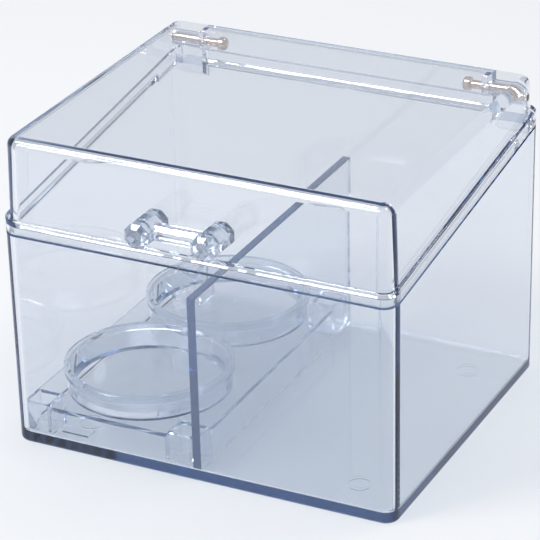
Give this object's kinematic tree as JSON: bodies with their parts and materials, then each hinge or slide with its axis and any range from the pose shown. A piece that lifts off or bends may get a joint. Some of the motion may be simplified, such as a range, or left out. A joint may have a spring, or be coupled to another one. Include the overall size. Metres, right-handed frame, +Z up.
{
  "type": "cotton swab holder",
  "caption": "Clear box with a sloping parting line, a hinged lid with a faceted handle, a divider and a lift-out stand with round cups for swabs, pads and sponges.",
  "frame": {"origin": "centre of the underside of the tray, on the surface that it stands on", "axes": "+Z up, -Y towards the front with the handle, +X to the right as seen from the front, along the hinge line"},
  "size_m": [0.112, 0.1093, 0.0884],
  "materials": {
    "clear_plastic": "polished, clear",
    "bright_steel": "bright drawn"
  },
  "bodies": {
    "base": {"base_box": "clear_plastic", "divider": "clear_plastic"},
    "lid": {"lid": "clear_plastic", "handle": "clear_plastic", "hinge_pin_left": "bright_steel", "hinge_pin_right": "bright_steel"},
    "stand": {"cup_stand": "clear_plastic"}
  },
  "joints": [
    {"name": "lid_hinge", "type": "hinge", "parent": "base", "child": "lid", "pos_m": [0, 0.043, 0.0829], "axis": [-1, 0, 0], "range_deg": [0, 100]},
    {"name": "stand_lift", "type": "slide", "parent": "base", "child": "stand", "axis": [0, 0, 1], "range_m": [0, 0.045]}
  ]
}
